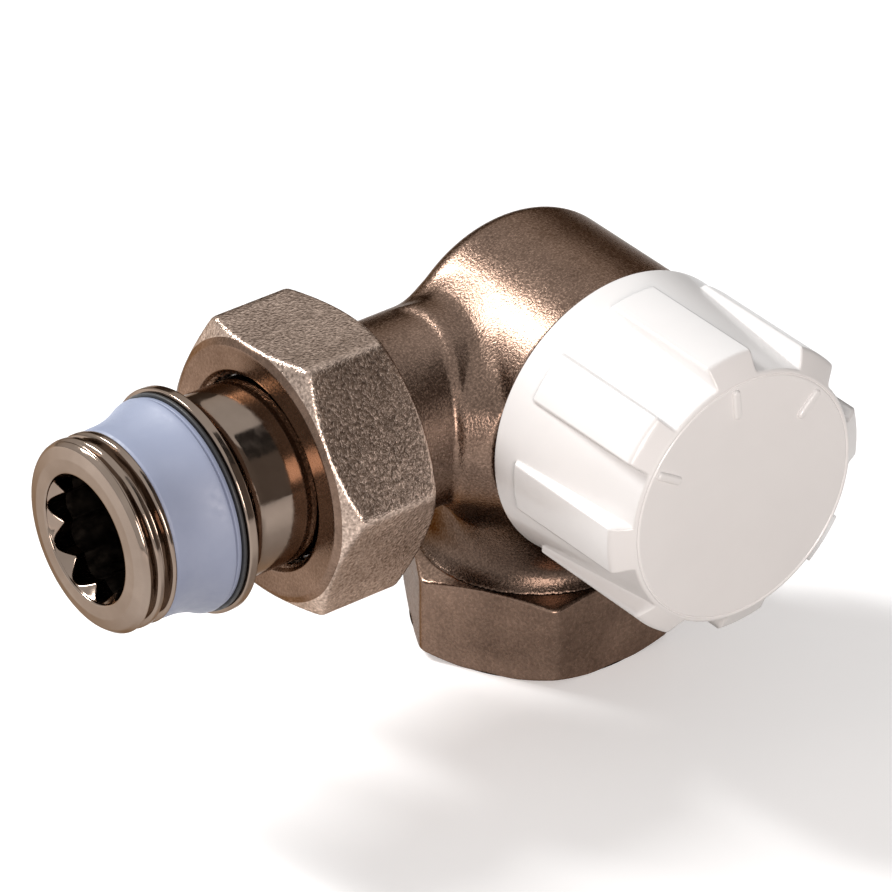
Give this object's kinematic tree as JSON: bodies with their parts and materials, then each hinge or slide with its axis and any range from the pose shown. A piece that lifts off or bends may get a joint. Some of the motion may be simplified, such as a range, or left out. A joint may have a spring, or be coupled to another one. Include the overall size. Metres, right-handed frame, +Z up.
{
  "type": "thermostatic valve body",
  "caption": "Corner radiator valve body with a hexagon inlet socket, side union and threaded tailpiece, and a ribbed white handwheel that lifts the valve disc.",
  "frame": {"origin": "on the inlet axis at the start of the full inlet thread, just inside the mouth", "axes": "+Z up the inlet axis into the body, the outlet union along -X, the handwheel along -Y"},
  "size_m": [0.075, 0.0516, 0.0483],
  "materials": {
    "nickel_satin": "satin nickel plate",
    "nickel_polished": "polished nickel plate",
    "brass_plain": "turned",
    "steel": "plain",
    "rubber_black": "matte",
    "black_ring": "matte",
    "blue_seal": "matte",
    "white_plastic": "gloss"
  },
  "bodies": {
    "valve": {"valve_body": "nickel_satin", "bonnet": "brass_plain", "bonnet_o_ring": "rubber_black", "stem_o_ring": "rubber_black", "gland_nut": "brass_plain"},
    "stem": {"stem": "steel", "disc_holder": "brass_plain", "valve_disc": "rubber_black", "disc_nut": "brass_plain", "spring_retainer": "steel", "stem_clip": "steel", "return_spring": "steel"},
    "handwheel": {"handwheel": "white_plastic", "thrust_pin": "brass_plain"},
    "tail": {"tailpiece": "nickel_polished", "tail_o_ring": "rubber_black", "nut_retaining_ring": "steel", "seal_backing_ring": "black_ring", "tailpiece_seal": "blue_seal"},
    "nut": {"union_nut": "nickel_satin"}
  },
  "joints": [
    {"name": "stem_slide", "type": "slide", "parent": "valve", "child": "stem", "axis": [0, -1, 0], "range_m": [0, 0.00226], "deforming": ["return_spring"]},
    {"name": "handwheel_turn", "type": "hinge", "parent": "stem", "child": "handwheel", "pos_m": [0, -0.02, 0.0306], "axis": [0, -1, 0], "range_deg": [0, 540]},
    {"name": "tail_slide", "type": "slide", "parent": "valve", "child": "tail", "axis": [-1, 0, 0], "range_m": [0, 0.00752]},
    {"name": "nut_turn", "type": "hinge", "parent": "tail", "child": "nut", "pos_m": [-0.03, 0, 0.0306], "axis": [-1, 0, 0], "range_deg": [0, 1800]}
  ],
  "couplings": [
    {"joint": "stem_slide", "follows": "handwheel_turn", "m_per_rad": 0.00023873},
    {"joint": "tail_slide", "follows": "nut_turn", "m_per_rad": 0.00023873}
  ]
}
